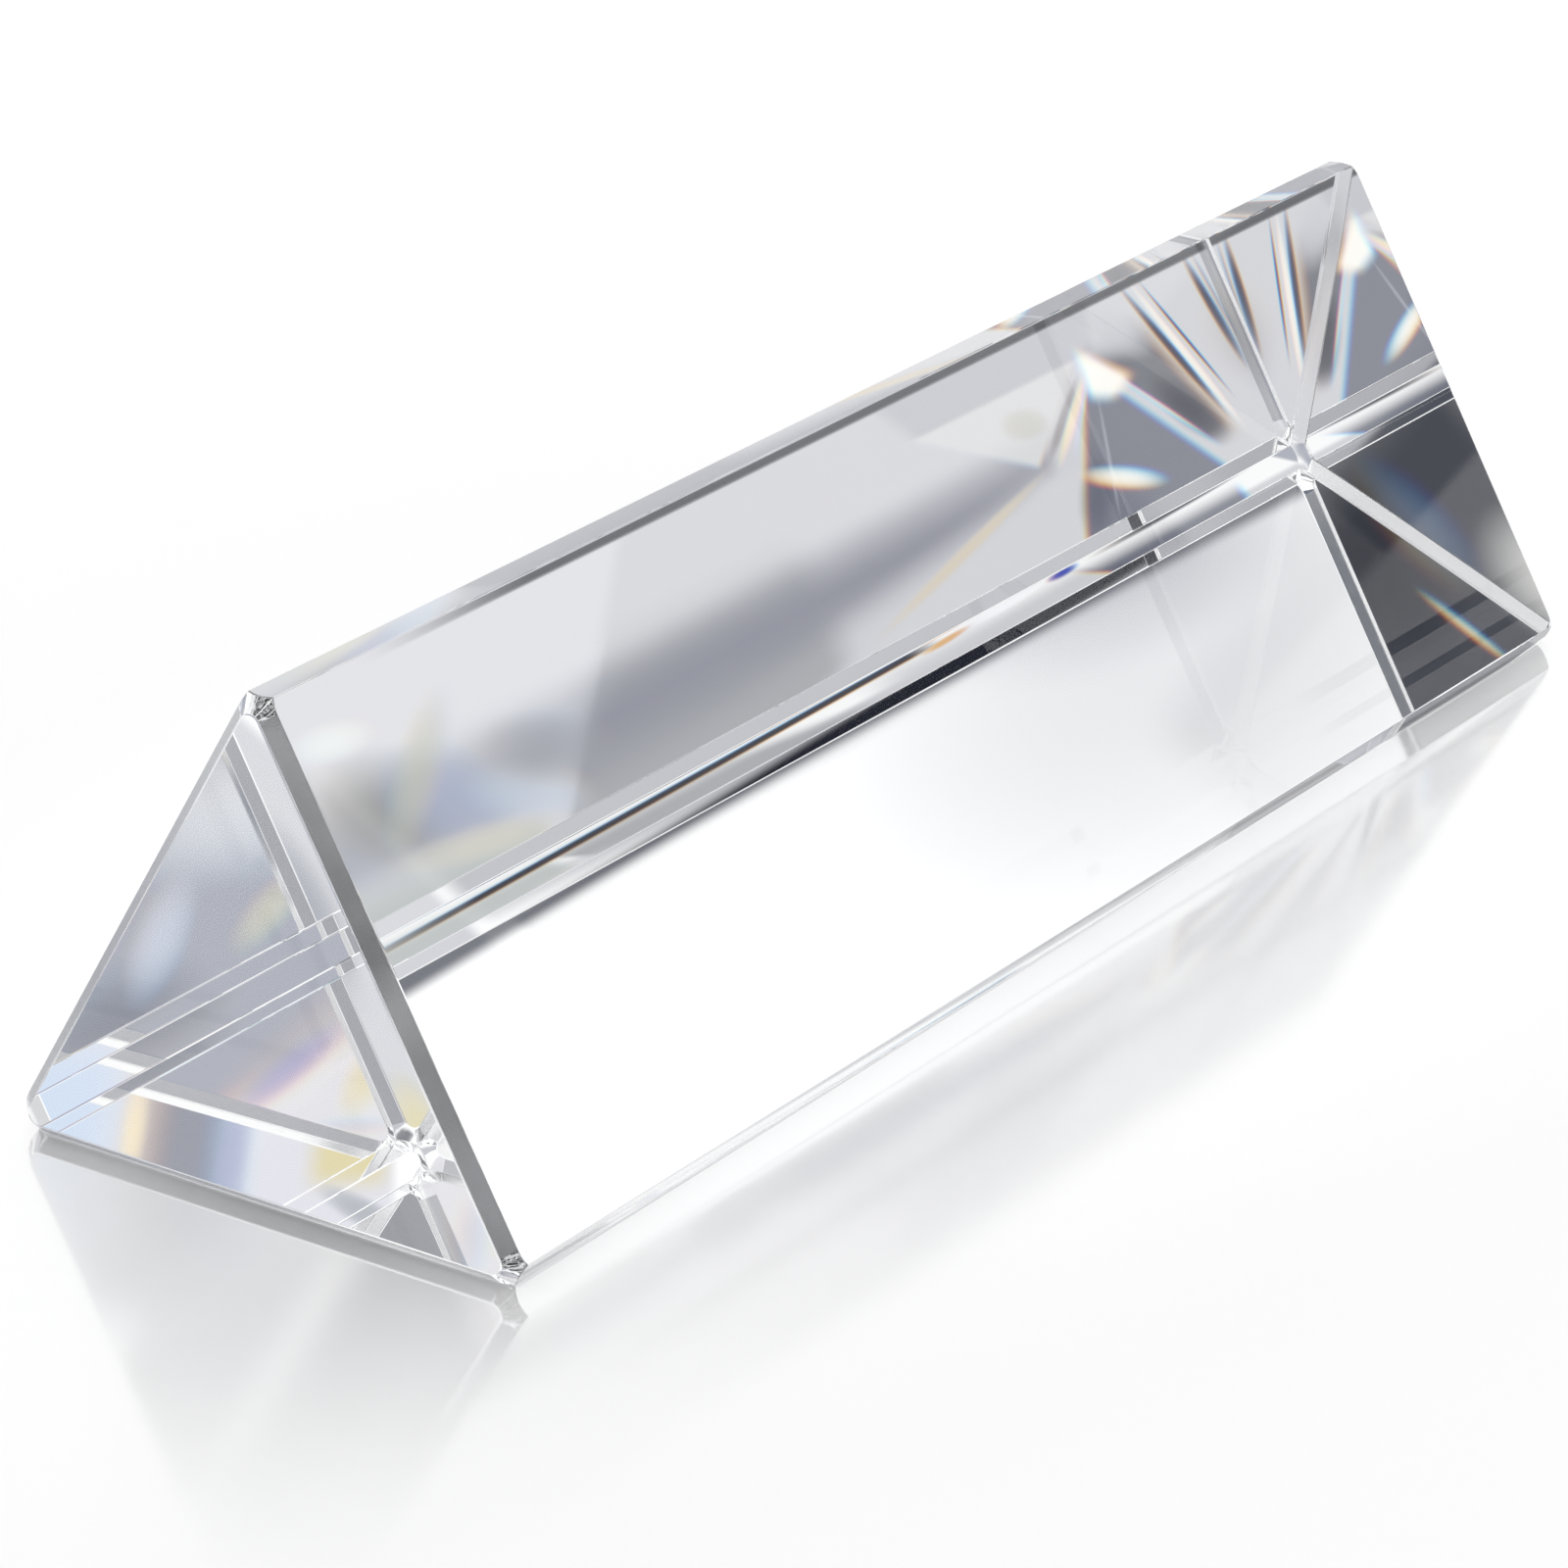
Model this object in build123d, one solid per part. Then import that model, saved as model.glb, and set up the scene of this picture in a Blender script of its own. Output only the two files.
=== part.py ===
"""Equilateral optical prism: one solid bar of polished glass with a 60 degree triangular section.

The bar lies on one of its three long faces, with its length along X. Its three long edges are ground
to narrow flats. The rim of each end is ground at 45 degrees, and turns the corners in small cones.

Units are millimetres, +Z is up, and the origin is the centre of the face that the bar rests on.
"""

import math
import os

from build123d import *

# Driving dimensions
LENGTH = 100.0  # end face to end face
FACE_WIDTH = 30.0  # width of each long face, measured over its ground edges
EDGE_FLAT = 1.5  # width of the flat ground on each long edge
END_BEVEL = 0.7  # bevel round each end face, measured along both faces that it joins
END_BEVEL_ANGLE = 45.0
END_CORNER_RADIUS = 0.6  # round at the three corners of each end face
SECTION_CORNERS = 3  # an equilateral section, so 60 degrees at every long edge

# Worked out from the driving dimensions
APEX_ANGLE = math.radians(180 / SECTION_CORNERS)
# A flat that cuts both flanks of a 60 degree edge at a distance d is itself d wide, and takes d / 2
# off the width of the bar at each side.
SHARP_WIDTH = FACE_WIDTH + EDGE_FLAT  # side of the section before its edges are ground
SHARP_CIRCUMRADIUS = SHARP_WIDTH / (2 * math.sin(APEX_ANGLE))
SHARP_INRADIUS = SHARP_WIDTH / (2 * math.tan(APEX_ANGLE))


def section(inset: float) -> Sketch:
    """The sharp triangle in the YZ plane, corner up and base on Z = 0, its sides moved in by inset."""
    # Moving every side of an equilateral triangle in by d takes 2 d off its circumradius.
    circumradius = SHARP_CIRCUMRADIUS - 2 * inset
    return Plane.YZ * Pos(0, SHARP_INRADIUS) * RegularPolygon(circumradius, SECTION_CORNERS, rotation=90)


def sawn_bar() -> Part:
    """The blank: a triangular bar with sharp edges, lying on one face and centred along X."""
    return extrude(section(inset=0), amount=LENGTH / 2, both=True)


def grind_long_edges(bar: Part) -> Part:
    """Flats of EDGE_FLAT on the three edges that run the length of the bar."""
    return chamfer(bar.edges().filter_by(Axis.X), length=EDGE_FLAT)


def end_grinding_cone() -> Part:
    """What grinding leaves of the +X end: the round-cornered end face, widening along the bar."""
    end_face = fillet(section(inset=END_BEVEL).vertices(), radius=END_CORNER_RADIUS)
    return Pos(LENGTH / 2, 0, 0) * extrude(end_face, amount=-LENGTH, taper=-END_BEVEL_ANGLE)


def glass_prism() -> Part:
    """The finished prism, in the order in which it is sawn and ground."""
    bar = grind_long_edges(sawn_bar())
    cone = end_grinding_cone()
    return bar & cone & mirror(cone, about=Plane.YZ)


os.makedirs("parts", exist_ok=True)
export_step(glass_prism(), "parts/glass_prism.step")
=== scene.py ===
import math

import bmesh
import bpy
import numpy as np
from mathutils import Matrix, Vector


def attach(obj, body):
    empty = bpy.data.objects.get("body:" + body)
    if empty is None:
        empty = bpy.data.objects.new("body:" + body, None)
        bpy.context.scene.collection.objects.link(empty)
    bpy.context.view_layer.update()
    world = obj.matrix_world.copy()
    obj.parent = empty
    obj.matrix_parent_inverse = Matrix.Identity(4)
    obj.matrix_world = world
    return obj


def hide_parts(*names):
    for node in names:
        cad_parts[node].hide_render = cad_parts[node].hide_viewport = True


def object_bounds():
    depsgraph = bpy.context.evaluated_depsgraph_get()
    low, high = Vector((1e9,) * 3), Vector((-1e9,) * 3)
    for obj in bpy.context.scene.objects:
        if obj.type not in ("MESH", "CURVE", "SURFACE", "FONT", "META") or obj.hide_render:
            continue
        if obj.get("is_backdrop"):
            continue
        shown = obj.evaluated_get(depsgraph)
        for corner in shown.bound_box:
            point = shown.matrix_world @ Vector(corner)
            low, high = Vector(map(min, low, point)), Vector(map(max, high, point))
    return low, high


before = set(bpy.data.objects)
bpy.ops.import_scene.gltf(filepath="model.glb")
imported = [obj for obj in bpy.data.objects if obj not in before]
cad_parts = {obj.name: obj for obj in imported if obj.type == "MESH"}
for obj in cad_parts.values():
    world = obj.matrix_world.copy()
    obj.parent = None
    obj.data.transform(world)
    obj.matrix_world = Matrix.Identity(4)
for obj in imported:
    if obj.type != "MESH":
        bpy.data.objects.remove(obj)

# %% [markdown]
# # A glass prism in a white studio
# The object is an equilateral prism: one bar of clear optical glass, 100 mm long, with a triangular
# section and a narrow flat or bevel along every edge. Glass has almost no look of its own. What the
# eye sees in it is the table and the studio, bent and mirrored by its faces. So this lesson makes the
# bar with true faces and fine edges, gives it two finishes of glass, and then builds a table and a
# white studio round it.

MM = 0.001
cad_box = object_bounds()
print("packed model, low and high corner:", [list(corner) for corner in cad_box])

# %% [markdown]
# ## The bar
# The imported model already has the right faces, so the bar starts as a copy of it. That mesh is loose
# triangles. Its points are merged and its flat triangles joined, which leaves one closed body whose
# faces are the faces of the real bar. Modelling the bar again from a cylinder of three sides would
# give the same shape with more chances of a mistake.

# %% Copy the glass and join its flat faces
GLASS_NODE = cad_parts["glass_prism"]
SAME_POINT = 0.001 * MM
STILL_FLAT = math.radians(0.5)
bar_mesh = bmesh.new()
bar_mesh.from_mesh(GLASS_NODE.data)
bmesh.ops.remove_doubles(bar_mesh, verts=bar_mesh.verts, dist=SAME_POINT)
bmesh.ops.dissolve_limit(bar_mesh, angle_limit=STILL_FLAT, verts=bar_mesh.verts, edges=bar_mesh.edges)
print("joined bar:", len(bar_mesh.verts), "points,", len(bar_mesh.faces), "faces")

# %% [markdown]
# ## Fine edges
# Even a polished prism has no perfectly sharp edge. Where two faces meet, the polisher leaves a line
# a few hundredths of a millimetre wide, and it catches the light as a bright hair. A bevel of that
# width gives the same hair. A normal map could only fake it, and would break where faces meet. The
# three strips in each bevel are turned by the same amount, so the edge is a small part of a circle.

# %% Round every edge where two faces meet
EDGE_WIDTH = 0.06 * MM
EDGE_STRIPS = 3
MEETING_ANGLE = math.radians(35)
edges = [edge for edge in bar_mesh.edges if edge.calc_face_angle() > MEETING_ANGLE]
rounded = bmesh.ops.bevel(
    bar_mesh, geom=edges, affect="EDGES", offset_type="OFFSET", offset=EDGE_WIDTH,
    segments=EDGE_STRIPS, profile=0.5, material=-1, clamp_overlap=True)
print("rounded", len(edges), "edges into", len(rounded["faces"]), "narrow faces")

# %% [markdown]
# ## Which face has which finish
# The long faces, their flats and the two end faces are polished. The bevels round the ends are only
# ground fine, so they are satin: they gather the light of the room into one soft grey. Each face says
# by its material number which finish it has, and only the hair-thin edges are shaded smooth.

# %% Mark the ground bevels and smooth the fine edges
POLISHED, GROUND = 0, 1
HAIR_AREA = 1.2 * MM * MM
END_BEVEL_LEAN = (0.6, 0.8)  # how far a bevel's normal points along the bar
for face in bar_mesh.faces:
    along_bar = abs(face.normal.x)
    is_hair = face.calc_area() < HAIR_AREA
    is_end_bevel = END_BEVEL_LEAN[0] < along_bar < END_BEVEL_LEAN[1]
    face.smooth = is_hair
    face.material_index = GROUND if is_end_bevel and not is_hair else POLISHED
print("ground bevels:", sum(face.material_index == GROUND for face in bar_mesh.faces))

# %% Turn the mesh into the finished piece
bar_data = bpy.data.meshes.new("polished_bar")
bar_mesh.to_mesh(bar_data)
bar_mesh.free()
bar = bpy.data.objects.new("polished_bar", bar_data)
bpy.context.scene.collection.objects.link(bar)
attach(bar, "root")
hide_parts("glass_prism")
print("bar in mm:", [round(side / MM, 3) for side in bar.dimensions])

# %% [markdown]
# ## The camera
# A long lens from about 36 cm, a little above the bar and off its near end. The long lens keeps the
# edges of the bar almost parallel, as in a catalogue picture, and makes every flat face look into
# only a few degrees of the studio. Its place is in metres, its three angles are in degrees, and the
# lens and the sensor are in millimetres.

# %% Place the camera
CAMERA_PLACE = Vector((-0.27432, -0.18108, 0.14335))
HEADING, LOOK_DOWN, ROLL = (math.radians(angle) for angle in (55.942, 22.878, 0.652))
FOCAL_LENGTH = 156.62
SENSOR_WIDTH = 36.0
camera_data = bpy.data.cameras.new("camera")
camera_data.sensor_width = SENSOR_WIDTH
camera_data.lens = FOCAL_LENGTH
camera = bpy.data.objects.new("camera", camera_data)
bpy.context.scene.collection.objects.link(camera)
aim = Matrix.Rotation(-HEADING, 4, "Z") @ Matrix.Rotation(math.pi / 2 - LOOK_DOWN, 4, "X")
camera.matrix_world = Matrix.Translation(CAMERA_PLACE) @ aim @ Matrix.Rotation(ROLL, 4, "Z")
bpy.context.scene.camera = camera
print("camera", round(CAMERA_PLACE.length, 3), "m from the bar")

# %% [markdown]
# ## Small helpers for nodes
# A material is a tree of nodes. Writing each node out in full hides the idea behind the wiring, so
# a few helpers do the wiring: one fills a socket with a value or a link, one adds a node of plain
# arithmetic, one adds a node of arithmetic on places, and two make a node group and put it to use.

# %% Fill sockets and do arithmetic
def feed(tree, socket, value):
    """Link an output to this socket, or set the value on it."""
    if isinstance(value, bpy.types.NodeSocket):
        tree.links.new(value, socket)
    else:
        socket.default_value = value

def number(tree, operation, *values):
    """One Math node: its result is a single number."""
    node = tree.nodes.new("ShaderNodeMath")
    node.operation = operation
    for socket, value in zip(node.inputs, values):
        feed(tree, socket, value)
    return node.outputs["Value"]

def triple(tree, operation, *values):
    """One Vector Math node: it works on the three numbers of a place."""
    node = tree.nodes.new("ShaderNodeVectorMath")
    node.operation = operation
    for socket, value in zip(node.inputs, values):
        feed(tree, socket, value)
    return node.outputs["Value" if operation == "LENGTH" else "Vector"]

print("feed, number and triple are ready")

# %% Make node groups and use them
def new_group(name, inputs, outputs):
    """An empty group with named sockets, given as (name, kind), with its inner ends."""
    group = bpy.data.node_groups.new(name, "ShaderNodeTree")
    for label, kind in inputs:
        group.interface.new_socket(label, in_out="INPUT", socket_type="NodeSocket" + kind)
    for label, kind in outputs:
        group.interface.new_socket(label, in_out="OUTPUT", socket_type="NodeSocket" + kind)
    start = group.nodes.new("NodeGroupInput")
    end = group.nodes.new("NodeGroupOutput")
    return group, start.outputs, end.inputs

def use_group(tree, group, **values):
    """Place a group in a tree. An underscore in a keyword stands for a space in the socket's name."""
    node = tree.nodes.new("ShaderNodeGroup")
    node.node_tree = group
    for label, value in values.items():
        feed(tree, node.inputs[label.replace("_", " ")], value)
    return node.outputs

print("new_group and use_group are ready")

# %% [markdown]
# ## Handling marks
# Real glass is never quite clean. A cloth leaves long faint wipes along the bar, and fingers leave
# clouds a centimetre wide. Both finishes have these marks in their own strength, so they are one
# node group: it gives a mask from 0, clean, to 1, most worn, from the place on the bar.

# %% Soft random patterns and smooth rises
def noise(tree, place, scale, detail):
    """A soft random pattern, from 0 to 1, with this many features to the metre."""
    node = tree.nodes.new("ShaderNodeTexNoise")
    feed(tree, node.inputs["Vector"], place)
    node.inputs["Scale"].default_value = scale
    node.inputs["Detail"].default_value = detail
    return node.outputs["Fac"]

def ramp(tree, value, low, high):
    """A smooth rise from 0 at low to 1 at high."""
    node = tree.nodes.new("ShaderNodeMapRange")
    node.interpolation_type = "SMOOTHSTEP"
    feed(tree, node.inputs["Value"], value)
    node.inputs["From Min"].default_value = low
    node.inputs["From Max"].default_value = high
    return node.outputs["Result"]

print("noise and ramp are ready")

# %% Group for wipes and clouds
STRETCH_ALONG_BAR = (0.08, 1.0, 1.0)
WIPES_TO_THE_METRE = 900.0
CLOUDS_TO_THE_METRE = 70.0
WIPE_RISE = (0.55, 0.75)
CLOUD_RISE = (0.45, 0.7)
marks_inputs = [("Place", "Vector")]
marks_outputs = [("Mask", "Float")]
HANDLING_MARKS, start, end = new_group("handling_marks", marks_inputs, marks_outputs)
along_wipes = triple(HANDLING_MARKS, "MULTIPLY", start["Place"], STRETCH_ALONG_BAR)
wipe_pattern = noise(HANDLING_MARKS, along_wipes, WIPES_TO_THE_METRE, detail=3.0)
cloud_pattern = noise(HANDLING_MARKS, start["Place"], CLOUDS_TO_THE_METRE, detail=2.0)
wipes = ramp(HANDLING_MARKS, wipe_pattern, *WIPE_RISE)
clouds = ramp(HANDLING_MARKS, cloud_pattern, *CLOUD_RISE)
feed(HANDLING_MARKS, end["Mask"], number(HANDLING_MARKS, "MULTIPLY", wipes, clouds))
print("handling marks:", len(HANDLING_MARKS.nodes), "nodes")

# %% [markdown]
# ## Polished glass
# Crown glass bends light by 1.52 and lets nearly all of it through. A glass shader with those two
# numbers does the rest: refraction, the weak mirror image on each face, and the total reflection
# inside that makes a prism glitter. The marks only raise the roughness a trace, so that a face seen
# at a glancing angle isn't perfect.

# %% Polished optical glass
CROWN_GLASS_IOR = 1.52
CLEAR_TINT = (0.992, 0.998, 1.0, 1.0)
WIPE_ROUGHNESS = 0.012

def glass_material(name, tint):
    """A clear glass with nothing on it yet, its tree and the place on the bar."""
    material = bpy.data.materials.new(name)
    material.use_nodes = True
    tree = material.node_tree
    shader = tree.nodes["Principled BSDF"]
    shader.inputs["Base Color"].default_value = tint
    shader.inputs["Metallic"].default_value = 0.0
    shader.inputs["IOR"].default_value = CROWN_GLASS_IOR
    shader.inputs["Transmission Weight"].default_value = 1.0
    place = tree.nodes.new("ShaderNodeTexCoord").outputs["Object"]
    return material, tree, shader, place

polished, tree, shader, place = glass_material("polished_optical_glass", CLEAR_TINT)
marks = use_group(tree, HANDLING_MARKS, Place=place)["Mask"]
feed(tree, shader.inputs["Roughness"], number(tree, "MULTIPLY", marks, WIPE_ROUGHNESS))
bar.data.materials.append(polished)
print("polished glass, IOR", CROWN_GLASS_IOR)

# %% [markdown]
# ## Fine ground glass
# The end bevels stop at the grinding stage: their surface is a field of tiny pits a few hundredths of
# a millimetre across. It still passes light, but scatters it, so each bevel shows one even grey. A
# roughness of about a quarter gives the scatter, and a fine bump gives the grain seen close up. The
# grey tint stands for the light that is lost in the pits.

# %% Ground optical glass
GROUND_ROUGHNESS = 0.22
MARK_ROUGHNESS = 0.06
PITS_TO_THE_METRE = 9000.0
PIT_DEPTH = 0.002 * MM
PITTED_TINT = (0.36, 0.37, 0.385, 1.0)
ground, tree, shader, place = glass_material("ground_optical_glass", PITTED_TINT)
marks = use_group(tree, HANDLING_MARKS, Place=place)["Mask"]
added = number(tree, "MULTIPLY_ADD", marks, MARK_ROUGHNESS, GROUND_ROUGHNESS)
feed(tree, shader.inputs["Roughness"], added)
pits = tree.nodes.new("ShaderNodeBump")
pits.inputs["Distance"].default_value = PIT_DEPTH
feed(tree, pits.inputs["Height"], noise(tree, place, PITS_TO_THE_METRE, detail=2.0))
feed(tree, shader.inputs["Normal"], pits.outputs["Normal"])
bar.data.materials.append(ground)
print("finishes on the bar:", [material.name for material in bar.data.materials])

# %% [markdown]
# ## Drawn light with coloured edges
# Clear glass shows its surroundings and nothing else, so they are drawn with care: soft panels and
# streaks of light and shade. Glass bends blue more than red, so a shape seen through a prism has a
# coloured rim. Cycles bends all colours alike, so the rim is put on the shape itself. Each mask is
# three masks, for red, green and blue, and red is moved one way and blue the other.

# %% Masks: a soft passage, a panel with straight sides and an oval streak
COLOUR_SHIFTS = np.array([1.0, 0.0, -1.0])

def soft_passage(reading):
    """A smooth rise from 0 at -1 to 1 at +1."""
    rise = np.clip((reading + 1) / 2, 0, 1)
    return rise * rise * (3 - 2 * rise)

def panel(spots, corners, softness, fringe=(0.0, 0.0)):
    """A mask for a shape with straight sides. Its corners run anticlockwise.

    One softness serves all sides, or a tuple holds one for each side, in the order of the corners.
    """
    mask = np.ones((len(spots), 3))
    softnesses = softness if isinstance(softness, tuple) else (softness,) * len(corners)
    for here, there, soft in zip(corners, corners[1:] + corners[:1], softnesses):
        along = np.subtract(there, here) / np.hypot(*np.subtract(there, here))
        inward = np.array((-along[1], along[0]))
        inside = (spots - here) @ inward
        shift = inward.dot(fringe) * COLOUR_SHIFTS
        mask *= soft_passage((inside[:, None] - shift) / soft)
    return mask

def streak(spots, begin, finish, width, fringe=(0.0, 0.0), fade=1.0):
    """A mask for a soft oval from begin to finish. A fade near 0 leaves it hard-edged."""
    length = np.hypot(*np.subtract(finish, begin))
    ahead = np.subtract(finish, begin) / length
    aside = np.array((-ahead[1], ahead[0]))
    squared = np.zeros((len(spots), 3))
    for way, half in ((ahead, length / 2), (aside, width / 2)):
        off_centre = (spots - np.add(begin, finish) / 2) @ way
        shift = way.dot(fringe) * COLOUR_SHIFTS
        squared += ((off_centre[:, None] - shift) / half) ** 2
    return soft_passage((1 - squared) * 2 / fade - 1)

def lay(light, tone, mask):
    """Lay a tone over the light, where the mask says, colour by colour."""
    return light + (np.array(tone) - light) * mask

print("panel, streak and lay are ready")

# %% [markdown]
# ## Tones as they look through the glass
# It helps to name a tone by how it should look in the picture, from 0 to 255. The glass passes only
# part of the light, and its front face adds a thin veil of its own. A helper works back from the
# look to the light that the table or the studio has to send, and another lays a whole set of streaks.
# Where the face adds less than the usual veil, the tone says so.

# %% From a look to a light
GLASS_PASSES = 0.87
FRONT_VEIL = 0.10

def light_of(level):
    """The light that a picture shows as this level, by the standard curve of screens."""
    value = level / 255
    return value / 12.92 if value <= 0.04045 else ((value + 0.055) / 1.055) ** 2.4

def seen_as(red, green=None, blue=None, veil=FRONT_VEIL):
    """The light to send so that it is seen as this colour behind the glass."""
    levels = (red, red if green is None else green, red if blue is None else blue)
    return tuple(max((light_of(level) - veil) / GLASS_PASSES, 0.0) for level in levels)

def lay_streaks(light, spots, streaks, fringe, fade=1.0, veil=FRONT_VEIL):
    """Lay streaks one over the other, each given as begin, finish, width and look."""
    for begin, finish, width, look in streaks:
        mask = streak(spots, begin, finish, width, fringe, fade)
        light = lay(light, seen_as(*look, veil=veil), mask)
    return light

print("a mid grey needs", [round(part, 3) for part in seen_as(165)])

# %% [markdown]
# ## Sheets that carry the light
# A sheet is a fine grid of points with a colour at each, which shines with it. Lying on the table it
# is the light that the bar throws there. Hanging in the studio it is a grey or black card. The same
# drawing made of shader nodes would be worked out again at every bounce of every ray. Only rays that
# have been through the glass see a sheet, and mirror images as well where that is wanted.

# %% The finish of a sheet
drawn_light = bpy.data.materials.new("drawn_light")
drawn_light.use_nodes = True
tree = drawn_light.node_tree
tree.nodes.remove(tree.nodes["Principled BSDF"])
colour = tree.nodes.new("ShaderNodeAttribute")
colour.attribute_name = "light"
shine = tree.nodes.new("ShaderNodeEmission")
feed(tree, shine.inputs["Color"], colour.outputs["Color"])
feed(tree, tree.nodes["Material Output"].inputs["Surface"], shine.outputs["Emission"])
print("drawn light:", len(tree.nodes), "nodes")

# %% The maker of a sheet
def sheet_of_light(name, low, high, pitch, stand, draw, mirrored):
    """A grid from low to high, with points a pitch apart, set up by stand and coloured by draw."""
    columns, rows = (round((last - first) / pitch) for first, last in zip(low, high))
    grid = bmesh.new()
    bmesh.ops.create_grid(grid, x_segments=columns, y_segments=rows, size=0.5)
    data = bpy.data.meshes.new(name)
    grid.to_mesh(data)
    grid.free()
    places = np.empty(3 * len(data.vertices))
    data.vertices.foreach_get("co", places)
    shares = places.reshape(-1, 3)[:, :2] + 0.5  # the grid was made from -0.5 to 0.5
    spots = np.array(low) + shares * np.subtract(high, low)
    data.vertices.foreach_set("co", stand(spots).ravel())
    shades = np.ones((len(spots), 4))
    shades[:, :3] = draw(spots)
    data.attributes.new("light", "FLOAT_COLOR", "POINT").data.foreach_set("color", shades.ravel())
    data.materials.append(drawn_light)
    sheet = bpy.data.objects.new(name, data)
    bpy.context.scene.collection.objects.link(sheet)
    sheet.visible_camera = False
    sheet.visible_diffuse = False
    sheet.visible_shadow = False
    sheet.visible_glossy = mirrored
    sheet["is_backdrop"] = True
    darkest, lightest = shades[:, :3].min(), shades[:, :3].max()
    print(name, "has", len(spots), "points, from tone", darkest.round(2), "to", lightest.round(2))

print("sheet_of_light is ready")

# %% [markdown]
# ## The table
# The bar lies on a plain white glossy table: a wide flat disc a hair below the bar. It has a pale
# body with a soft gloss, and near the bar a stronger mirror layer, which gives the soft mirror image
# under the bar. That layer thins out in an oval, and ends about 90 mm from the middle along the bar
# and 50 mm across it. A little light of its own brings the bare table to white without more lamps.

# %% Shape of the table
TABLE_RADIUS = 3.0
TABLE_GAP = 0.02 * MM
TABLE_SIDES = 96
table_mesh = bmesh.new()
bmesh.ops.create_circle(table_mesh, cap_ends=True, segments=TABLE_SIDES, radius=TABLE_RADIUS)
bmesh.ops.translate(table_mesh, verts=table_mesh.verts, vec=(0, 0, -TABLE_GAP))
table_data = bpy.data.meshes.new("table")
table_mesh.to_mesh(table_data)
table_mesh.free()
table = bpy.data.objects.new("table", table_data)
bpy.context.scene.collection.objects.link(table)
table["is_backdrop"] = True
print("table", 2 * TABLE_RADIUS, "m across")

# %% Finish of the table
PLAIN_WHITE = (1.0, 1.0, 1.0, 1.0)
TABLE_TONE = (0.8, 0.8, 0.8, 1.0)
TABLE_ROUGHNESS = 0.3
TABLE_GLOW = 0.16
MIRROR_SHARE = 0.7
MIRROR_TINT = (0.98, 0.98, 0.985, 1.0)
MIRROR_ROUGHNESS = 0.1
MIRROR_REACH = (95 * MM, 52 * MM, 1.0)
MIRROR_FADE = (0.4, 0.95)  # where the layer starts to thin and where it ends, as shares of the reach
white_table = bpy.data.materials.new("white_table")
white_table.use_nodes = True
tree = white_table.node_tree
body = tree.nodes["Principled BSDF"]
body.inputs["Base Color"].default_value = TABLE_TONE
body.inputs["Roughness"].default_value = TABLE_ROUGHNESS
body.inputs["Emission Color"].default_value = PLAIN_WHITE
body.inputs["Emission Strength"].default_value = TABLE_GLOW
mirror = tree.nodes.new("ShaderNodeBsdfAnisotropic")
mirror.inputs["Color"].default_value = MIRROR_TINT
mirror.inputs["Roughness"].default_value = MIRROR_ROUGHNESS
spot = tree.nodes.new("ShaderNodeTexCoord").outputs["Object"]
how_far = triple(tree, "LENGTH", triple(tree, "DIVIDE", spot, MIRROR_REACH))
near_bar = number(tree, "SUBTRACT", 1, ramp(tree, how_far, *MIRROR_FADE))
both = tree.nodes.new("ShaderNodeMixShader")
feed(tree, both.inputs[0], number(tree, "MULTIPLY", near_bar, MIRROR_SHARE))
feed(tree, both.inputs[1], body.outputs["BSDF"])
feed(tree, both.inputs[2], mirror.outputs["BSDF"])
feed(tree, tree.nodes["Material Output"].inputs["Surface"], both.outputs["Shader"])
table.data.materials.append(white_table)
print("table material:", len(tree.nodes), "nodes")

# %% [markdown]
# ## Light that the bar throws on the table
# A prism in a lit room throws light on the table under it: a broad shade, a fan of bright streaks near
# one end, and rims of colour. Tracing it truly takes minutes of render time and a lamp tuned to it.
# Here it is drawn in millimetres. It starts with the light grey under the bar and the broad shade.
# Each drawing takes the places of the points and gives their light, and each cell prints the light
# at one of its places, so that a change is easy to follow.

# %% Light grey, broad shade and the sloping border between them
def broad_shade(spots):
    """The large tones under the bar."""
    under_bar = panel(spots, [(-51, -12), (50, -12), (50, 14.9), (-51, 14.9)], (3, 0.3, 0.3, 2))
    bare_table = np.ones((len(spots), 3))
    light = lay(bare_table, seen_as(214, 214, 218), under_bar)
    bright_left = panel(spots, [(-60, 1), (-4.8, 1), (-19.9, 15), (-60, 15)], (1, 0.7, 1, 1))
    light = lay(light, seen_as(224, 224, 228), bright_left)
    shade = panel(spots, [(-12, 8.3), (27, 8.3), (28.5, 10), (6, 14.2), (6, 16), (-20.5, 16)],
                  (2.4, 0.9, 0.8, 2, 1, 0.35))
    light = lay(light, seen_as(180, 181, 184), shade)
    deep_shade = panel(spots, [(-14, 9), (29, 8.6), (29, 10), (8, 12.4), (-18, 12.8)],
                       (1.8, 1, 1.4, 2.2, 1.6))
    return lay(light, seen_as(158, 159, 168), deep_shade)

MIDDLE = np.array([(0.0, 11.0)])
print("in the middle of the shade:", broad_shade(MIDDLE)[0].round(2))

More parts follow.
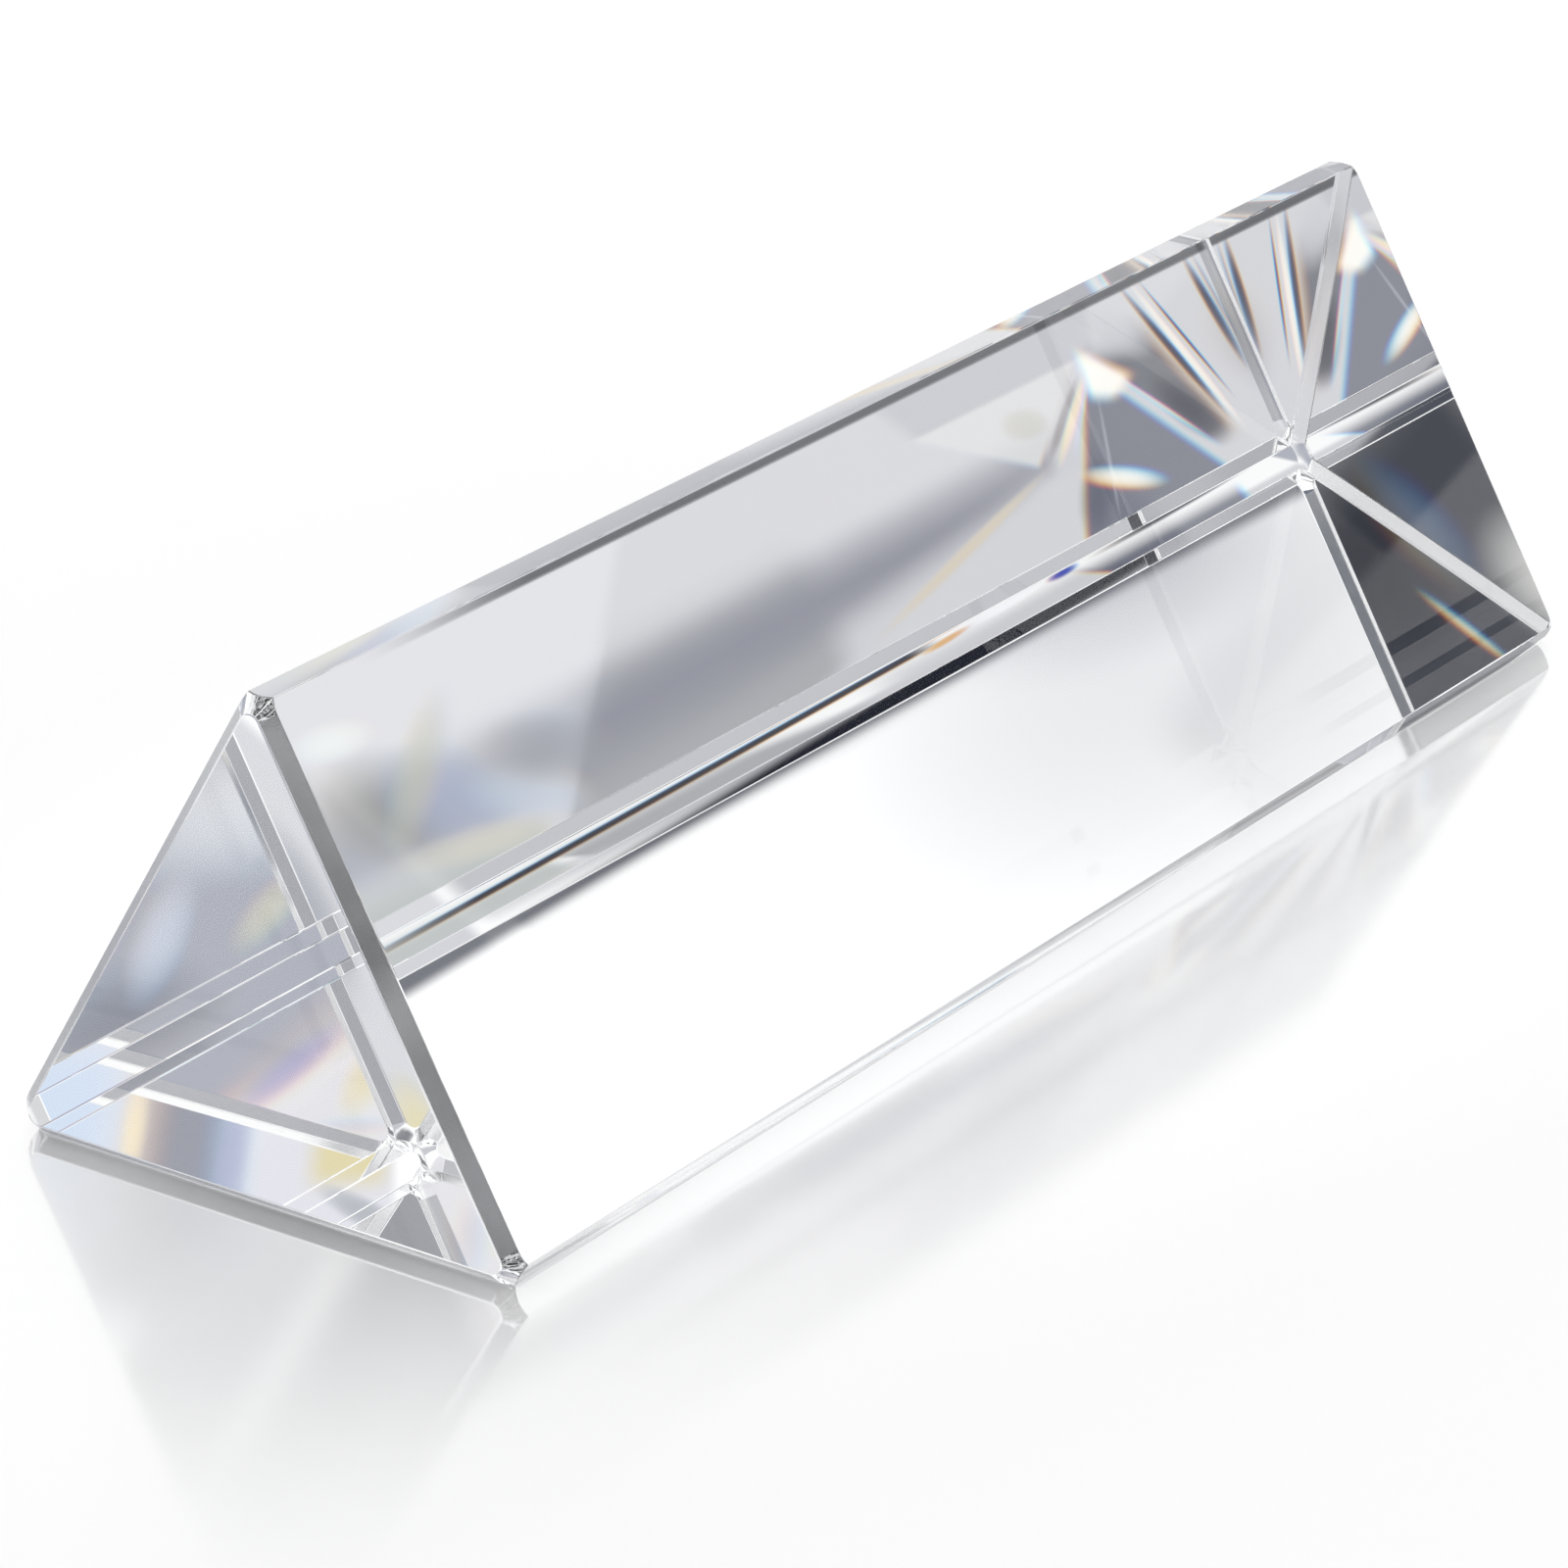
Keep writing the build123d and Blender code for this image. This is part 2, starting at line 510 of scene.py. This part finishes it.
# %% Clouds of blue-grey and cream light and shade at the near end
def near_clouds(spots, light):
    """Soft clouds of drawn light and shade, with a little colour."""
    left_shade = panel(spots, [(-60, 8), (-13, 9.2), (-21, 13.2), (-60, 11.8)], (2.2, 1.6, 1.6, 1))
    light = lay(light, seen_as(183, 186, 195), left_shade)
    left_top = panel(spots, [(-60, 12.2), (-20.5, 13.4), (-20.5, 16), (-60, 16)], (1.2, 1, 1, 1))
    light = lay(light, seen_as(197, 201, 200), left_top)
    clouds = [
        ((-36.0, 7.6), (-24.5, 11.4), 7.0, (158, 159, 155)),
        ((-31.0, 7.8), (-21.5, 12.6), 6.0, (180, 187, 208)),
        ((-25.5, 10.4), (-15.5, 14.2), 4.2, (206, 214, 226)),
        ((-32.0, 12.2), (-22.5, 5.2), 3.6, (200, 200, 188)),
        ((-33.0, 12.2), (-17.0, 14.4), 2.2, (218, 215, 203)),
        ((-23.5, 8.8), (-12.5, 12.4), 4.6, (170, 172, 178)),
        ((-35.6, 5.0), (-28.5, 5.9), 2.4, (240, 244, 242))]
    return lay_streaks(light, spots, clouds, fringe=(0.25, 0), fade=1.5)

BLUE_CLOUD = np.array([(-26.0, 10.0)])
print("in the blue-grey cloud:", near_clouds(BLUE_CLOUD, broad_shade(BLUE_CLOUD))[0].round(2))

# %% Bright field above the warm streak, and the pale triangle under it
def field_and_triangle(spots, light):
    """The two light shapes that meet at a point."""
    upper_field = panel(spots, [(8, 14.0), (28.6, 10.1), (31.4, 11.2), (28.7, 16), (8, 16)],
                        (0.8, 0.9, 0.5, 1, 3))
    light = lay(light, seen_as(217, 217, 220), upper_field)
    light = lay(light, seen_as(220, 211, 196), streak(spots, (8, 13.9), (29.5, 9.6), 0.9))
    pale_triangle = panel(spots, [(18.4, 5.0), (34.2, 5.1), (27.7, 9.5)], (0.15, 0.25, 0.3), (0.12, 0))
    light = lay(light, seen_as(223, 223, 224), pale_triangle)
    light = lay(light, seen_as(211, 210, 206), streak(spots, (25.5, 6.6), (30.5, 7.4), 2.2))
    lower_right = panel(spots, [(16, 2), (37.5, 2), (36.6, 5.0), (18.6, 5.0)], (1, 0.5, 0.15, 0.8))
    return lay(light, seen_as(200, 200, 205), lower_right)

PALE_SPOT = np.array([(27.0, 7.0)])
print("in the pale triangle:", field_and_triangle(PALE_SPOT, broad_shade(PALE_SPOT))[0].round(2))

# %% The dark wedge towards the far end, with its bright arms, flecks and fan
def wedge_and_arms(spots, light):
    """The most broken part of the drawn light."""
    wedge = panel(spots, [(35.0, 5.6), (44.6, 15.5), (28.2, 15.5)], (0.35, 1, 0.35), (0.25, 0))
    light = lay(light, seen_as(140, 142, 151), wedge)
    light = lay(light, seen_as(112, 114, 126), streak(spots, (29.0, 14.8), (33.5, 10.4), 3.4, fade=1.5))
    light = lay(light, seen_as(170, 173, 182), streak(spots, (32.3, 14.8), (35.4, 6.8), 0.4))
    right_field = panel(spots, [(36.0, 5.4), (41.4, 4.9), (45.6, 12.6), (43.5, 12.8)],
                        (1.2, 0.8, 0.9, 0.25), (-0.2, 0))
    light = lay(light, seen_as(132, 134, 140), right_field)
    light = lay(light, seen_as(88, 89, 96), streak(spots, (39.6, 7.6), (45.4, 13.2), 3.4, fade=1.5))
    light = lay(light, seen_as(206, 207, 211), streak(spots, (35.2, 3.2), (43.0, 6.2), 3.8, fade=1.4))
    arms = [
        ((28.0, 9.9), (34.6, 5.7), 0.9, 1.0, (178, 174, 176), 0.0),
        ((28.8, 10.3), (35.3, 5.7), 0.9, 1.0, (244, 230, 208), 0.15),
        ((30.4, 10.6), (35.6, 5.6), 0.5, 1.0, (206, 214, 228), 0.15),
        ((30.4, 10.8), (38.4, 13.6), 1.6, 1.2, (255, 252, 246), -0.35),
        ((35.4, 5.0), (43.9, 13.2), 0.5, 1.2, (214, 220, 228), 0.15)]
    for begin, finish, width, fade, look, fringe in arms:
        light = lay(light, seen_as(*look), streak(spots, begin, finish, width, (fringe, 0), fade))
    fan = panel(spots, [(34.9, 4.7), (38.6, 7.2), (36.6, 8.0), (34.4, 7.3)], 0.55, (0.25, 0))
    return lay(light, seen_as(255, 253, 247), fan)

IN_WEDGE = np.array([(33.0, 13.0)])
print("in the dark wedge:", wedge_and_arms(IN_WEDGE, broad_shade(IN_WEDGE))[0].round(2))

# %% Narrow lines of light and shade: by the far end, under the back edge and just behind the bar
def narrow_lines(spots, light):
    """Lines of drawn light and shade, a few tenths of a millimetre wide."""
    by_far_end = [
        ((40.6, 1.6), (46.0, 12.6), 0.9, (98, 100, 108)),
        ((41.6, 1.6), (47.0, 13.6), 0.8, (246, 240, 234)),
        ((42.5, 1.8), (47.2, 11.6), 0.35, (112, 113, 120)),
        ((47.6, 1.8), (49.3, 10.4), 1.1, (96, 98, 107)),
        ((48.5, 1.8), (49.7, 9.0), 0.5, (178, 180, 186))]
    light = lay_streaks(light, spots, by_far_end, fringe=(0.08, 0))
    back_line = panel(spots, [(-21, 1.5), (56, 1.5), (56, 2.72), (-21, 2.72)], (1, 1, 0.06, 8))
    light = lay(light, seen_as(78, 79, 84, veil=0.03), back_line)
    behind_line = panel(spots, [(-34, 15.5), (14, 16.15), (14, 16.75), (-34, 16.0)],
                        (0.12, 2, 0.12, 8), (0, 0.03))
    light = lay(light, seen_as(44, 44, 50, veil=0.01), behind_line)
    behind_bar = [
        ((12.5, 15.9), (18.5, 16.3), 0.7, (216, 172, 120)),
        ((17.5, 16.1), (26.5, 16.5), 0.9, (240, 240, 244)),
        ((25.5, 16.3), (29.5, 16.6), 0.9, (58, 70, 168)),
        ((29.0, 16.4), (52.0, 17.1), 0.9, (70, 72, 80))]
    light = lay_streaks(light, spots, behind_bar, fringe=(0.1, 0), veil=0.03)
    edge_shade = panel(spots, [(-40, 16.9), (70, 17.0), (70, 19.5), (-40, 19.5)], (0.15, 1, 0.5, 1))
    light = lay(light, seen_as(150, 151, 157, veil=0.05), edge_shade)
    edge_line = panel(spots, [(-40, 17.3), (70, 17.3), (70, 17.6), (-40, 17.6)], 0.12)
    return lay(light, seen_as(52, 53, 59, veil=0.02), edge_line)

ON_BLUE_LINE = np.array([(27.5, 16.45)])
print("on the blue line:", narrow_lines(ON_BLUE_LINE, broad_shade(ON_BLUE_LINE))[0].round(2))

# %% Shade beyond the far end, which the near end looks into
def far_shade(spots, light):
    """Soft shade and streaks on the table past the far end."""
    pale = panel(spots, [(50.1, -16), (98, -16), (98, 33), (50.1, 33)], 0.3)
    light = lay(light, seen_as(224, 223, 227, veil=0.06), pale)
    beyond = panel(spots, [(50.1, -3.4), (58, -3.0), (98, 8), (98, 32), (50.1, 32)],
                   (2.2, 4, 1, 1, 0.3), (0, 0.7))
    light = lay(light, seen_as(168, 171, 181, veil=0.06), beyond)
    past_far_end = [
        ((70.0, 22.0), (100.0, 26.0), 22.0, (224, 226, 230)),
        ((46.0, 6.5), (66.0, 13.5), 10.0, (128, 132, 142)),
        ((66.0, 9.6), (80.0, 15.6), 3.4, (206, 204, 188)),
        ((57.0, 9.6), (76.0, 21.4), 4.0, (204, 210, 224)),
        ((48.0, -4.4), (64.0, -0.6), 3.4, (160, 160, 200)),
        ((52.0, -9.6), (63.0, -3.6), 3.2, (226, 214, 172)),
        ((50.0, -8.0), (53.5, -12.5), 3.0, (206, 207, 212))]
    return lay_streaks(light, spots, past_far_end, fringe=(0.3, 0.3), fade=1.5, veil=0.06)

BEYOND = np.array([(75.0, 20.0)])
print("past the far end:", far_shade(BEYOND, broad_shade(BEYOND))[0].round(2))

# %% Lay the drawn light on the table
def table_light(spots):
    """All the drawn light of the table, at places in millimetres."""
    light = near_clouds(spots, broad_shade(spots))
    light = wedge_and_arms(spots, field_and_triangle(spots, light))
    return far_shade(spots, narrow_lines(spots, light))

def on_table(spots):
    """Places on the table, half a gap above it."""
    return np.column_stack([spots * MM, np.full(len(spots), -TABLE_GAP / 2)])

sheet_of_light("light_under_bar", low=(-55, -16), high=(100, 34), pitch=0.1, stand=on_table,
               draw=table_light, mirrored=False)

# %% [markdown]
# ## The studio
# The studio is a white tent. To show glass, grey and black cards are hung in it, because a bar
# in pure white light would vanish: its edges show only where they mirror something darker. The tent
# is the world, and the cards are sheets of light. They hang so far away that every part of the bar
# sees them in the same direction. Their places are in degrees, from the +Y direction towards +X, and
# upwards.

# %% The plain tent, and how a sheet hangs in it
TENT_RADIUS = 60.0
STEP_BACK = 1.1
TENT_LIGHT = 1.12

def plain_tent(spots):
    """The even light of the tent, before any card hangs in it."""
    return np.full((len(spots), 3), TENT_LIGHT)

def in_tent(directions):
    """Places on the wall of the tent, from directions in degrees."""
    around, upwards = np.radians(directions).T
    level = np.cos(upwards)
    wall = [level * np.sin(around), level * np.cos(around), np.sin(upwards)]
    return TENT_RADIUS * np.column_stack(wall)

def behind_the_cards(directions):
    """Places a step further out, behind the other cards."""
    return STEP_BACK * in_tent(directions)

print("straight ahead hangs at", in_tent(np.array([(0.0, 0.0)]))[0].round(1), "m")

# %% Cards behind the bar
def cards_behind(spots):
    """A soft grey card, a dark rod and the striped card that the near end looks at."""
    light = plain_tent(spots)
    soft_card = streak(spots, (55.4, 23.6), (63.0, 20.0), 5.0, fade=1.7)
    light = lay(light, seen_as(206, 206, 211), soft_card)
    its_middle = streak(spots, (57.2, 21.9), (61.0, 20.2), 1.6, fade=1.8)
    light = lay(light, seen_as(186, 187, 193), its_middle)
    rod = panel(spots, [(52.0, 24.45), (60.5, 19.95), (60.6, 20.3), (52.1, 24.85)], 0.07)
    light = lay(light, seen_as(112, 114, 121, veil=0.04), rod)
    thin_rod = panel(spots, [(52.0, 24.5), (60.5, 20.0), (60.5, 20.08), (52.0, 24.58)], 0.03)
    light = lay(light, seen_as(48, 49, 55, veil=0.01), thin_rod)
    striped = panel(spots, [(48.2, 24.9), (52.4, 24.9), (52.4, 27.2), (48.2, 27.2)], 0.1)
    light = lay(light, seen_as(222, 222, 229, veil=0.05), striped)
    blue = panel(spots, [(48.4, 25.0), (49.9, 25.0), (49.6, 26.4), (48.4, 26.6)], 0.35)
    light = lay(light, seen_as(204, 218, 236, veil=0.05), blue)
    grey = panel(spots, [(50.2, 25.0), (51.0, 25.0), (50.7, 26.9), (49.8, 26.9)], 0.3, (0.06, 0.0))
    light = lay(light, seen_as(146, 149, 159, veil=0.05), grey)
    violet = streak(spots, (51.05, 25.1), (50.7, 26.9), 0.4, fade=1.6)
    light = lay(light, seen_as(168, 171, 200, veil=0.05), violet)
    cream = streak(spots, (50.1, 25.1), (49.85, 26.3), 0.3, fade=1.6)
    light = lay(light, seen_as(250, 234, 196, veil=0.05), cream)
    warm = panel(spots, [(51.8, 25.0), (52.3, 25.0), (52.3, 26.2), (51.6, 26.2)], 0.15)
    light = lay(light, seen_as(220, 210, 168, veil=0.05), warm)
    last_grey = streak(spots, (51.6, 26.2), (52.7, 26.75), 0.3)
    return lay(light, seen_as(178, 182, 188, veil=0.05), last_grey)

sheet_of_light("cards_behind", low=(48, 19), high=(63, 28), pitch=0.025, stand=in_tent,
               draw=cards_behind, mirrored=False)

# %% Cards to the left: a big black one and a pale corner
def cards_left(spots):
    """What the dark triangles at the far end look at."""
    light = plain_tent(spots)
    black = panel(spots, [(-63.9, 20.9), (-61.6, 18.6), (-59.4, 19.6), (-61.2, 23.0), (-63.2, 22.6)],
                  (0.7, 0.3, 0.3, 0.3, 0.3))
    light = lay(light, seen_as(76, 78, 84, veil=0.015), black)
    its_middle = streak(spots, (-62.0, 21.9), (-60.4, 20.0), 1.5, fade=1.6)
    light = lay(light, seen_as(38, 40, 46, veil=0.01), its_middle)
    slate = streak(spots, (-62.2, 21.15), (-60.9, 20.0), 0.55, (0.04, 0.04), fade=1.4)
    light = lay(light, seen_as(108, 116, 134, veil=0.015), slate)
    pale = streak(spots, (-64.0, 21.4), (-62.0, 20.5), 1.3, fade=1.5)
    light = lay(light, seen_as(244, 243, 240, veil=0.02), pale)
    glint = streak(spots, (-62.6, 21.78), (-61.5, 21.06), 0.1, (0.0, 0.018), fade=1.4)
    return lay(light, seen_as(214, 206, 190, veil=0.02), glint)

sheet_of_light("cards_left", low=(-65, 18), high=(-58, 24), pitch=0.025, stand=in_tent,
               draw=cards_left, mirrored=False)

# %% Cards to the right, which the front face mirrors faintly
def cards_right(spots):
    """What the front face mirrors, and what the narrow strips look at."""
    light = plain_tent(spots)
    dark = panel(spots, [(119.0, 10.0), (125.4, 10.0), (125.4, 12.6), (119.0, 13.2)], 0.3)
    light = lay(light, seen_as(90, 90, 96, veil=0.02), dark)
    grey = panel(spots, [(124.0, 13.3), (130.6, 15.7), (130.6, 17.2), (124.0, 15.0)], 0.15)
    light = lay(light, seen_as(196, 197, 201), grey)
    rod = panel(spots, [(124.0, 13.5), (130.4, 15.3), (130.4, 15.5), (124.0, 13.8)], 0.06)
    light = lay(light, seen_as(48, 49, 55, veil=0.02), rod)
    side = panel(spots, [(130.7, 14.0), (133.5, 14.0), (133.5, 19.0), (130.7, 19.0)], 0.08)
    light = lay(light, seen_as(210, 211, 215, veil=0.05), side)
    slate = streak(spots, (131.9, 15.8), (131.2, 17.9), 0.7, fade=1.4)
    light = lay(light, seen_as(150, 154, 165, veil=0.05), slate)
    cream = streak(spots, (132.0, 15.4), (132.5, 14.2), 0.5, fade=1.4)
    return lay(light, seen_as(222, 212, 164, veil=0.05), cream)

sheet_of_light("cards_right", low=(118, 9), high=(134, 19.5), pitch=0.03, stand=in_tent,
               draw=cards_right, mirrored=True)

# %% Cards above
def cards_high(spots):
    """What the far bevels look at."""
    light = plain_tent(spots)
    slate = panel(spots, [(27, 29.5), (34, 29.5), (34, 34), (27, 34)], 0.4)
    light = lay(light, seen_as(76, 84, 99, veil=0.02), slate)
    slit = streak(spots, (30.45, 30.2), (30.85, 33.0), 0.12)
    light = lay(light, seen_as(250, veil=0.02), slit)
    for left, right, low, high in ((55, 66, 30, 37), (48, 53, 27, 29), (77, 83, 42.5, 47)):
        card = panel(spots, [(left, low), (right, low), (right, high), (left, high)], 0.4)
        light = lay(light, seen_as(150, 151, 156, veil=0.05), card)
    return light

sheet_of_light("cards_high", low=(26, 26.9), high=(84, 48), pitch=0.1, stand=in_tent,
               draw=cards_high, mirrored=False)

# %% A grey skirting round the foot of the tent
def cards_low(spots):
    """A grey skirting with one darker place in it, for the narrow edges of the glass."""
    light = plain_tent(spots)
    skirting = panel(spots, [(-180, -1), (180, -1), (180, 8), (-180, 8)], (0.5, 0.1, 2.0, 0.1))
    light = lay(light, seen_as(192, 193, 199, veil=0.05), skirting)
    darker = streak(spots, (51.0, 4.9), (58.5, 5.6), 1.0, fade=1.5)
    return lay(light, seen_as(150, 152, 160, veil=0.05), darker)

sheet_of_light("cards_low", low=(-180, 0), high=(180, 8.5), pitch=0.25, stand=in_tent,
               draw=cards_low, mirrored=False)

# %% Small cards to the left
def cards_back_left(spots):
    """Two small cards that thin slivers of the far end look at."""
    light = plain_tent(spots)
    grey = panel(spots, [(-126, 12.2), (-119, 12.2), (-119, 15), (-126, 15)], 0.1)
    light = lay(light, seen_as(170, 171, 176, veil=0.05), grey)
    dark = panel(spots, [(-123, 12.2), (-119, 12.2), (-119, 12.95), (-123, 12.95)], 0.05)
    return lay(light, seen_as(82, 85, 92, veil=0.02), dark)

def cards_far_left(spots):
    """A grey card for the bevel between the dark triangles."""
    light = plain_tent(spots)
    grey = panel(spots, [(-58, 28.8), (-52, 28.8), (-52, 31), (-58, 31)], 0.2)
    light = lay(light, seen_as(112, 116, 126, veil=0.03), grey)
    slit = streak(spots, (-57.0, 29.93), (-53.0, 29.8), 0.07)
    return lay(light, seen_as(226, veil=0.03), slit)

sheet_of_light("cards_back_left", low=(-127, 12), high=(-118, 15.5), pitch=0.03, stand=in_tent,
               draw=cards_back_left, mirrored=False)
sheet_of_light("cards_far_left", low=(-59, 28.5), high=(-51, 31.5), pitch=0.02, stand=in_tent,
               draw=cards_far_left, mirrored=False)

# %% [markdown]
# ## Cards for every other side
# The cards so far serve one view. From any other side the bar would stand in plain white and lose its
# edges, so tall grey cards hang all round it, a step behind the others, with white gaps between them.

# %% Broad grey cards all round
def cards_round(spots):
    """Tall grey cards with white gaps between them."""
    light = plain_tent(spots)
    tall_cards = [
        (-48, -22, 10, 50, 118),
        (2, 20, 14, 50, 84),
        (88, 106, 10, 40, 128),
        (135, 158, 12, 46, 92),
        (-170, -147, 12, 50, 132),
        (-112, -78, 11, 44, 104)]
    for left, right, low, high, level in tall_cards:
        card = panel(spots, [(left, low), (right, low), (right, high), (left, high)], (3, 1.5, 9, 4))
        light = lay(light, seen_as(level, level + 1, level + 6, veil=0.03), card)
    return light

sheet_of_light("cards_round", low=(-180, 8.5), high=(180, 60), pitch=0.5, stand=behind_the_cards,
               draw=cards_round, mirrored=False)

# %% [markdown]
# ## The light of the tent
# The world lights the scene evenly from all sides. The camera and the table's pale body get plain
# white from it. Rays through glass and mirror images get a little more, to make up for what is lost
# on the way through the bar.

# %% Light up the tent
studio = bpy.data.worlds.new("white_tent")
bpy.context.scene.world = studio
studio.use_nodes = True
tree = studio.node_tree
light_path = tree.nodes.new("ShaderNodeLightPath")
plain = number(tree, "MAXIMUM", light_path.outputs["Is Camera Ray"], light_path.outputs["Is Diffuse Ray"])
seen_in_glass = tree.nodes["Background"]
seen_in_glass.inputs["Color"].default_value = PLAIN_WHITE
seen_in_glass.inputs["Strength"].default_value = TENT_LIGHT
white = tree.nodes.new("ShaderNodeBackground")
white.inputs["Color"].default_value = PLAIN_WHITE
either = tree.nodes.new("ShaderNodeMixShader")
feed(tree, either.inputs[0], plain)
feed(tree, either.inputs[1], seen_in_glass.outputs["Background"])
feed(tree, either.inputs[2], white.outputs["Background"])
feed(tree, tree.nodes["World Output"].inputs["Surface"], either.outputs["Shader"])
print("tent light in the glass:", TENT_LIGHT)

# %% [markdown]
# ## Deep reflections
# Light can bounce a dozen times inside a prism before it leaves. The usual limits stop a ray after
# four mirror bounces and leave black holes in the glass, so they are raised here.

# %% Let rays bounce until they leave the glass
cycles = bpy.context.scene.cycles
cycles.max_bounces = 40
cycles.glossy_bounces = 32
cycles.transmission_bounces = 32
bpy.context.scene.view_settings.view_transform = "Standard"
print("bounces allowed:", cycles.max_bounces)

# %% [markdown]
# ## Measure and finish
# The dressed bar has to stay inside the box of the imported model.

# %% Measure the two boxes and finish
visual_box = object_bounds()
sizes = {"cad": [list(corner) for corner in cad_box], "visual": [list(corner) for corner in visual_box]}
cad_sides = np.array(sizes["cad"])
visual_sides = np.array(sizes["visual"])
print("largest difference in mm:", (abs(cad_sides - visual_sides).max() / MM).round(4))
